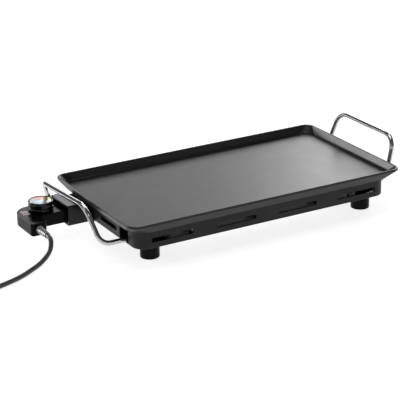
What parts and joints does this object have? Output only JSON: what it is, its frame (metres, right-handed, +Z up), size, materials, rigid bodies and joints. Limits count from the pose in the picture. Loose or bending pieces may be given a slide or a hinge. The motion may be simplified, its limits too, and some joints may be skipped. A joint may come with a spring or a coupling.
{
  "type": "electric griddle",
  "caption": "Countertop electric griddle: shallow rectangular plate on a vented base with wire handles and a plug-in thermostat controller with knob, mains cord and plug.",
  "frame": {"origin": "on the table, under the middle of the griddle with its controller plugged in and both handles counted", "axes": "+X along the plate away from the controller, +Y across the plate, away from the side the cord leaves the controller, +Z up"},
  "size_m": [0.856, 0.276, 0.1085],
  "materials": {
    "coated_plate": "dark non-stick coating, satin",
    "bare_aluminium": "as cast",
    "element_sheath": "dull, heat-darkened",
    "contact_metal": "bright plated",
    "contact_brass": "bright",
    "ceramic_collar": "unglazed",
    "sheet_steel": "plated",
    "screw_steel": "plated",
    "base_plastic": "fine texture",
    "tray_sheet": "rolled, satin",
    "foot_plastic": "polished",
    "pad_rubber": "matt",
    "handle_chrome": "polished",
    "clamp_plastic": "matt",
    "shroud_plastic": "satin, glossy lip",
    "controller_plastic": "polished",
    "knob_plastic": "polished",
    "dial_face": "pearl, under a clear face",
    "switch_plastic": "matt",
    "probe_steel": "satin",
    "lens_plastic": "tinted, clear",
    "lamp_glass": "clear",
    "relief_rubber": "smooth ribs",
    "cord_sheath": "smooth",
    "plug_plastic": "smooth"
  },
  "bodies": {
    "griddle": {"griddle_plate": "coated_plate", "probe_block": "bare_aluminium", "heating_element": "element_sheath", "element_clips": "bare_aluminium", "terminal_pins": "contact_metal", "terminal_insulators": "ceramic_collar", "inlet_bracket": "sheet_steel", "base_frame": "base_plastic", "reflector_tray": "tray_sheet", "plate_spacers": "sheet_steel", "plate_screws": "screw_steel", "foot_screws": "screw_steel", "handle_right": "handle_chrome", "handle_left": "handle_chrome", "clamp_screws": "screw_steel", "socket_shroud": "shroud_plastic", "shroud_screws": "screw_steel", "foot_front_left": "foot_plastic", "foot_pad_front_left": "pad_rubber", "clamp_front_left": "clamp_plastic", "foot_front_right": "foot_plastic", "foot_pad_front_right": "pad_rubber", "clamp_front_right": "clamp_plastic", "foot_back_left": "foot_plastic", "foot_pad_back_left": "pad_rubber", "clamp_back_left": "clamp_plastic", "foot_back_right": "foot_plastic", "foot_pad_back_right": "pad_rubber", "clamp_back_right": "clamp_plastic"},
    "controller": {"controller_lower": "controller_plastic", "controller_upper": "controller_plastic", "controller_screws": "screw_steel", "thermostat_block": "switch_plastic", "thermostat_probe": "probe_steel", "socket_contacts": "contact_brass", "pilot_lens": "lens_plastic", "pilot_lamp": "lamp_glass", "strain_relief": "relief_rubber", "power_cord": "cord_sheath", "cord_coil": "cord_sheath", "cord_tail": "cord_sheath", "mains_plug": "plug_plastic", "plug_pins": "contact_metal"},
    "knob": {"control_knob": "knob_plastic", "dial_disc": "dial_face", "knob_spindle": "screw_steel"}
  },
  "joints": [
    {"name": "controller_unplug", "type": "slide", "parent": "griddle", "child": "controller", "axis": [-1, 0, 0], "range_m": [0, 0.08]},
    {"name": "knob_turn", "type": "hinge", "parent": "controller", "child": "knob", "pos_m": [-0.274, 0.062, 0.055], "axis": [0, 0, 1], "range_deg": [-270, 0]}
  ]
}
